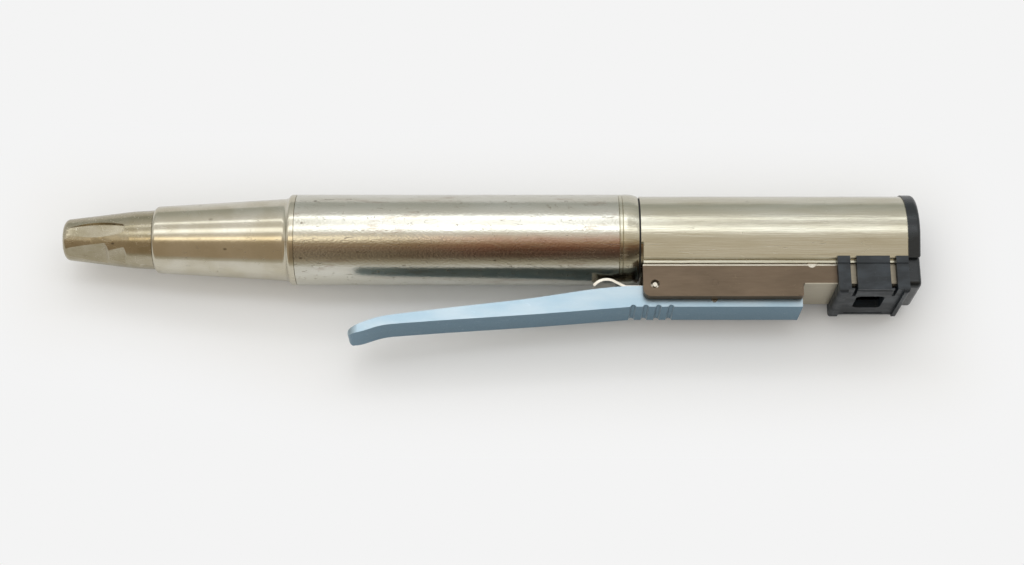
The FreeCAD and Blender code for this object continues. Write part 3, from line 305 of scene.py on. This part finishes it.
bronzeLook = {
    # sintered bronze: fine open pores that hold the oil
    "colour": "A6804F", "colourWorn": "8E6B40", "grain": (0.25, 0.25, 0.25), "depth": 0.008,
    "ripple": (1, 1, 1), "rippleDepth": 0.002, "patches": (2, 2, 2),
    "stainSize": (1.5, 1.5, 1.5), "stainFrom": 0.55, "stain": 0.4, "stainColour": "5C432B",
    "scratchSize": (2, 0.8, 0.8), "scratchShare": 0.7, "scratchTone": 0.2, "scratchColour": "C9A875",
    "nickSize": (0.5, 0.5, 0.5), "nickShare": 0.3, "nickColour": "3E2D1D", "rough": (0.35, 0.48),
}
copperLook = {
    # enamelled winding wire, laid side by side
    "colour": "B4683A", "colourWorn": "9A5630", "grain": (0.3, 8, 8), "depth": 0.02,
    "ripple": (1, 1, 1), "rippleDepth": 0.002, "patches": (2, 2, 2),
    "stainSize": (2, 1, 1), "stainFrom": 0.58, "stain": 0.4, "stainColour": "5E2F1B",
    "scratchSize": (2, 0.8, 0.8), "scratchShare": 0.7, "scratchTone": 0.2, "scratchColour": "D59A6C",
    "nickSize": (2, 1, 1), "nickShare": 0.04, "nickColour": "4A2A18", "rough": (0.22, 0.34),
}
contactLook = {
    # gold flash over nickel, worn where the plug rubs
    "colour": "D8B15C", "colourWorn": "C9A048", "grain": (2, 0.3, 0.3), "depth": 0.001,
    "ripple": (1, 1, 1), "rippleDepth": 0.001, "patches": (2, 1, 1),
    "stainSize": (2, 1, 1), "stainFrom": 0.6, "stain": 0.3, "stainColour": "B9B2A2",
    "scratchSize": (2, 0.5, 0.5), "scratchShare": 0.6, "scratchTone": 0.4, "scratchColour": "F0DCA6",
    "nickSize": (2, 1, 1), "nickShare": 0.04, "nickColour": "6A5A34", "rough": (0.16, 0.24),
}


# Anodised aluminium: etched matt, then dyed blue in the oxide layer. The dye is pale on the sawn sides
# and thin along rubs, where the bare metal starts to show. The outer face is painted a deeper blue-grey as
# painted shade.
leverLook = {
    # the outer colour and its from/to limits paint shade onto the outer face
    "colour": "A8B7BF", "colourDeep": "99AEBA", "outerShadeColour": "5A7C90", "edgeColour": "CADAE2",
    "patchSize": (9, 3, 3), "patchDetail": 3.0, "patchEdges": (0.3, 0.7), "outerShadeFrom": -0.5, "outerShadeTo": -0.85,
    "grainSize": (0.35, 0.35, 0.35), "grainDetail": 2.0, "rough": (0.28, 0.36), "depth": 0.003,
    "metallic": 0.85,
    "rubSize": (5, 1.2, 1.2), "rubWidth": 0.014, "rubShare": 0.56, "rubTone": 0.15,
}


def anodisedBlue(name, look):
    material, tree, output, place = newFinish(name)
    patch = cloud(tree, place, look["patchSize"], look["patchDetail"])
    patch = ramped(tree, patch, *look["patchEdges"])
    colour = mixed(tree, patch, linear(look["colour"]), linear(look["colourDeep"]))
    # painted shade: faces turned toward -Y, the lever's outer face, get a darker blue-grey
    facing = addNode(tree, "SeparateXYZ", {0: addNode(tree, "TexCoord").outputs["Normal"]})
    outerShade = ramped(tree, facing.outputs["Y"], look["outerShadeFrom"], look["outerShadeTo"])
    colour = mixed(tree, outerShade, colour, linear(look["outerShadeColour"]))
    rub = hairlines(tree, place, look["rubSize"], look["rubWidth"], look["rubShare"])
    colour = mixed(tree, maths(tree, "MULTIPLY", rub, look["rubTone"]), colour, linear(look["edgeColour"]))
    grain = cloud(tree, place, look["grainSize"], look["grainDetail"])
    rough = ramped(tree, grain, *look["patchEdges"], *look["rough"])
    normal = addNode(tree, "Bump", {"Strength": 1.0, "Distance": look["depth"] * mm, "Height": grain})
    shader = addNode(tree, "BsdfPrincipled", {"Base Color": colour, "Metallic": look["metallic"],
                                              "Roughness": rough, "Normal": normal.outputs[0]})
    tree.links.new(shader.outputs[0], output.inputs[0])
    return material


# Glass-filled nylon and rubber, moulded: dark, fine leathery skin from the spark-eroded mould,
# rubbed shinier and greyer where hands and trays touch it.
clipLook = {"colour": "121A20", "colourRubbed": "1D262D", "skin": (0.3, 0.3, 0.3), "rub": (5, 2, 2),
            "rough": (0.42, 0.58), "depth": 0.012, "dust": 0.12, "dustColour": "6E706E"}
capLook = {"colour": "10161A", "colourRubbed": "1B2226", "skin": (0.3, 0.3, 0.3), "rub": (4, 2, 2),
           "rough": (0.24, 0.34), "depth": 0.01, "dust": 0.12, "dustColour": "6A6B66"}
rubberLook = {"colour": "1B1B1B", "colourRubbed": "262626", "skin": (0.2, 0.2, 0.2), "rub": (3, 2, 2),
              "rough": (0.55, 0.7), "depth": 0.01, "dust": 0.2, "dustColour": "4A4A46"}
insertLook = {"colour": "202224", "colourRubbed": "2C2E30", "skin": (0.25, 0.25, 0.25), "rub": (3, 2, 2),
              "rough": (0.28, 0.36), "depth": 0.004, "dust": 0.1, "dustColour": "5A5A56"}
boardLook = {"colour": "16452B", "colourRubbed": "1E5736", "skin": (0.6, 0.6, 0.6), "rub": (3, 2, 2),
             "rough": (0.3, 0.4), "depth": 0.006, "dust": 0.1, "dustColour": "9C9B80"}
chipLook = {"colour": "1A1A1B", "colourRubbed": "252526", "skin": (0.15, 0.15, 0.15), "rub": (1, 1, 1),
            "rough": (0.5, 0.6), "depth": 0.004, "dust": 0.1, "dustColour": "55554F"}
leadLook = {"colour": "7E1F1A", "colourRubbed": "8C2A24", "skin": (0.5, 0.2, 0.2), "rub": (2, 1, 1),
            "rough": (0.35, 0.45), "depth": 0.003, "dust": 0.1, "dustColour": "A0827C"}


mouldedWear = {
    # what all the moulded parts share: where a rub shows, how it takes the gloss, and the grains of dust
    "skinDetail": 2.0, "rubDetail": (4.0, 0.6), "rubEdges": (0.42, 0.66), "glossEdges": (0.35, 0.65),
    "dustSize": (0.8, 0.8, 0.8), "dustEdges": (0.16, 0.06),
}


def mouldedSkin(name, look):
    wear = mouldedWear
    material, tree, output, place = newFinish(name)
    skin = cloud(tree, place, look["skin"], wear["skinDetail"])
    rub = cloud(tree, place, look["rub"], *wear["rubDetail"])
    rubbed = ramped(tree, rub, *wear["rubEdges"])
    colour = mixed(tree, rubbed, linear(look["colour"]), linear(look["colourRubbed"]))
    specks = addNode(tree, "TexVoronoi", {"Vector": stretched(tree, place, wear["dustSize"]), "Scale": 1.0})
    dust = ramped(tree, specks.outputs["Distance"], *wear["dustEdges"], 0.0, look["dust"])
    colour = mixed(tree, dust, colour, linear(look["dustColour"]))
    rough = ramped(tree, rub, *wear["glossEdges"], look["rough"][1], look["rough"][0])
    normal = addNode(tree, "Bump", {"Strength": 1.0, "Distance": look["depth"] * mm, "Height": skin})
    shader = addNode(tree, "BsdfPrincipled", {"Base Color": colour, "Metallic": 0.0, "Roughness": rough,
                                              "Normal": normal.outputs[0]})
    tree.links.new(shader.outputs[0], output.inputs[0])
    return material


finishes = {
    "barrel_steel": workedSteel("polishedBarrelSteel", barrelLook),
    "housing_steel": workedSteel("brushedHousingSteel", housingLook),
    "cone_steel": workedSteel("turnedConeSteel", coneLook),
    "tip_steel": workedSteel("colletSteel", tipLook),
    "bracket_steel": workedSteel("tintedBracketSteel", bracketLook),
    "spring_steel": workedSteel("springSteel", springLook),
    "inner_steel": workedSteel("groundGearSteel", innerLook),
    "core_steel": workedSteel("laminatedCore", coreLook),
    "magnet": workedSteel("nickelPlate", magnetLook),
    "bronze": workedSteel("sinteredBronze", bronzeLook),
    "copper": workedSteel("enamelledCopper", copperLook),
    "contact": workedSteel("goldFlash", contactLook),
    "lever_alloy": anodisedBlue("anodisedBlueAluminium", leverLook),
    "clip_plastic": mouldedSkin("greyNylon", clipLook),
    "cap_plastic": mouldedSkin("darkNylon", capLook),
    "rubber": mouldedSkin("blackRubber", rubberLook),
    "insert_plastic": mouldedSkin("connectorPlastic", insertLook),
    "board": mouldedSkin("solderMask", boardLook),
    "chip": mouldedSkin("chipPlastic", chipLook),
    "lead_cover": mouldedSkin("wireCover", leadLook),
}
for node in nodes.values():
    for slot in node.material_slots:
        slot.material = finishes[slot.material.name]
print("finishes on:", len(finishes))


# The leaf spring under the lever: how near its corners are to be joined, in mm, and the share of its
# height that the arch keeps when the lever is all the way down
springLeaf = {"merge": 0.001, "leftOfArch": 0.25}


def makeSpringLeaf(look):
    # the leaf rides the lever: a merged copy of the leaf is hung on the lever's body
    node = nodes["leaf_spring"]
    leaf = bpy.data.objects.new("springLeaf", node.data.copy())
    bpy.context.scene.collection.objects.link(leaf)
    leaf.matrix_world = node.matrix_world.copy()
    bpy.ops.object.select_all(action="DESELECT")
    leaf.select_set(True)
    bpy.context.view_layer.objects.active = leaf
    bpy.ops.object.mode_set(mode="EDIT")
    bpy.ops.mesh.select_all(action="SELECT")
    bpy.ops.mesh.remove_doubles(threshold=look["merge"] * mm)
    bpy.ops.object.mode_set(mode="OBJECT")
    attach(leaf, "lever")
    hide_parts("leaf_spring")
    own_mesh(leaf)


makeSpringLeaf(springLeaf)
print("spring leaf made")


# The white table and the soft lamps above it. The room's tones go round the tool's axis: 0 degrees is
# straight up, -90 the far side, +90 the near side, which is dim and brown, less so toward the tip.
# Matt surfaces get mostly the plain tone instead, polished ones all of the room.
studio = {
    "tableSize": 3.0, "tableColour": "F4F4F4",
    # the shadow is kept whole between these lines along and across the tool, and thins out past them. Its
    # near side moves out from the tip to the lever
    "shadowAlong": (-0.002, 0.162), "shadowFar": 0.0075, "shadowNear": (-0.0065, -0.0205),
    "nearFrom": 0.0, "nearTo": 0.062, "fadeOver": 0.02,
    "lampAway": 0.9,
    # each lamp: tilt in degrees, middle, length and width in metres, radiance, colour. The second lamp is
    # a screen over the barrel alone, the last one a warm strip over the tip
    "lamps": ((-37, 0.08, 1.6, 0.08, 1.68, "F3F8FF"), (-25, 0.05, 0.22, 0.62, 1.15, "F3F8FF"),
              (-8, 0.08, 1.6, 0.2, 1.34, "F3F8FF"), (17, -0.19, 0.38, 0.14, 1.6, "FFEFD0")),
    "plainColour": "E6E5E2", "tonesInPlain": 0.1, "tipSideColour": "B3A188", "tipSideReach": 0.22,
    "roomTones": ((-180, "D0D0CC"), (-110, "C0C2BE"), (-90, "BDC1BD"), (-73, "CCCFCC"), (-58, "E2E3E1"),
                  (-44, "F1F1EF"), (0, "F4F0E8"), (10, "E9E1D3"), (20, "D8CCB9"), (28, "AF9874"),
                  (35, "87664A"), (43, "684A37"), (52, "443628"), (67, "483D30"), (75, "8E8674"),
                  (84, "BFBAAA"), (93, "D0CCC0"), (180, "D5D1C6")),
}


def awayFromTool(tree, place, look):
    # how far a point of the table lies outside the outline of the tool and its shadow, in metres
    at = addNode(tree, "SeparateXYZ", {0: place})
    x, y = at.outputs["X"], at.outputs["Y"]
    near = ramped(tree, x, look["nearFrom"], look["nearTo"], *look["shadowNear"])
    nearSide = maths(tree, "SUBTRACT", near, y)
    farSide = maths(tree, "SUBTRACT", y, look["shadowFar"])
    across = maths(tree, "MAXIMUM", maths(tree, "MAXIMUM", nearSide, farSide), 0.0)
    tipSide = maths(tree, "SUBTRACT", look["shadowAlong"][0], x)
    capSide = maths(tree, "SUBTRACT", x, look["shadowAlong"][1])
    along = maths(tree, "MAXIMUM", maths(tree, "MAXIMUM", tipSide, capSide), 0.0)
    both = addNode(tree, "CombineXYZ", {0: across, 1: along}).outputs[0]
    return addNode(tree, "VectorMath", {0: both}, operation="LENGTH").outputs["Value"]


def makeTable(look):
    low = cadBox[0]
    bpy.ops.mesh.primitive_plane_add(size=look["tableSize"], location=(0, 0, low.z))
    table = bpy.context.object
    table.name = "table"
    material = bpy.data.materials.new("paintedTable")
    material.use_nodes = True
    tree = material.node_tree
    tree.nodes.clear()
    place = addNode(tree, "TexCoord").outputs["Object"]
    fade = ramped(tree, awayFromTool(tree, place, look), 0.0, look["fadeOver"])
    path = addNode(tree, "LightPath")
    seen = maths(tree, "MAXIMUM", path.outputs["Is Camera Ray"], path.outputs["Is Glossy Ray"])
    paint = addNode(tree, "BsdfDiffuse", {"Color": linear(look["tableColour"])})
    glow = addNode(tree, "Emission", {"Color": linear(look["tableColour"]), "Strength": 1.0})
    both = addNode(tree, "MixShader", {0: maths(tree, "MULTIPLY", fade, seen), 1: paint.outputs[0],
                                       2: glow.outputs[0]})
    addNode(tree, "OutputMaterial", {0: both.outputs[0]})
    table.data.materials.append(material)


def makeRoom(look):
    world = bpy.data.worlds.new("room")
    bpy.context.scene.world = world
    world.use_nodes = True
    tree = world.node_tree
    tree.nodes.clear()
    way = addNode(tree, "SeparateXYZ", {0: addNode(tree, "TexCoord").outputs["Generated"]})
    toFront = maths(tree, "MULTIPLY", way.outputs["Y"], -1.0)
    turn = maths(tree, "ARCTAN2", toFront, way.outputs["Z"])
    share = addNode(tree, "MapRange", {0: turn, 1: -math.pi, 2: math.pi, 3: 0.0, 4: 1.0}).outputs[0]
    ramp = addNode(tree, "ValToRGB", {0: share})
    marks = ramp.color_ramp.elements
    for angle, tone in look["roomTones"][1:-1]:
        marks.new((angle + 180) / 360).color = linear(tone)
    marks[0].color = linear(look["roomTones"][0][1])
    marks[len(marks) - 1].color = linear(look["roomTones"][-1][1])
    toTip = maths(tree, "DIVIDE", way.outputs["X"], -look["tipSideReach"])
    toTip = addNode(tree, "Clamp", {0: toTip}).outputs[0]
    tones = mixed(tree, toTip, ramp.outputs[0], linear(look["tipSideColour"]), "LIGHTEN")
    path = addNode(tree, "LightPath")
    polished = maths(tree, "MAXIMUM", path.outputs["Is Glossy Ray"], look["tonesInPlain"])
    plain = mixed(tree, polished, linear(look["plainColour"]), tones)
    room = addNode(tree, "Background", {"Color": plain, "Strength": 1.0})
    white = addNode(tree, "Background", {"Color": linear(look["tableColour"]), "Strength": 1.0})
    both = addNode(tree, "MixShader", {0: path.outputs["Is Camera Ray"], 1: room.outputs[0],
                                       2: white.outputs[0]})
    addNode(tree, "OutputWorld", {0: both.outputs[0]})


def makeLamps(look):
    away = look["lampAway"]
    for count, (degrees, middle, length, width, radiance, colour) in enumerate(look["lamps"]):
        tilt = math.radians(degrees)
        place = Vector((middle, math.sin(tilt) * -away, math.cos(tilt) * away))
        bpy.ops.object.light_add(type="AREA", location=place, rotation=(tilt, 0, 0))
        lamp = bpy.context.object
        lamp.name = "softLamp" + str(count + 1)
        lamp.data.shape = "RECTANGLE"
        lamp.data.size = length
        lamp.data.size_y = width
        lamp.data.energy = radiance * math.pi * length * width
        lamp.data.color = linear(colour)[:3]
        lamp.visible_camera = False


def makeCamera():
    # 65 mm lens, looking along +Y and down at 70 degrees, the middle of the picture at X 84.7 mm
    lens = {"focal": 65.04, "sensor": 36, "nearest": 0.01, "place": (0.0847, -0.1278, 0.3275), "tilt": 20.0}
    bpy.ops.object.camera_add(location=lens["place"], rotation=(math.radians(lens["tilt"]), 0, 0))
    camera = bpy.context.object
    camera.data.lens = lens["focal"]
    camera.data.sensor_width = lens["sensor"]
    camera.data.clip_start = lens["nearest"]
    bpy.context.scene.camera = camera


makeTable(studio)
makeRoom(studio)
makeLamps(studio)
makeCamera()
bpy.context.scene.view_settings.view_transform = "Standard"
print("studio ready")
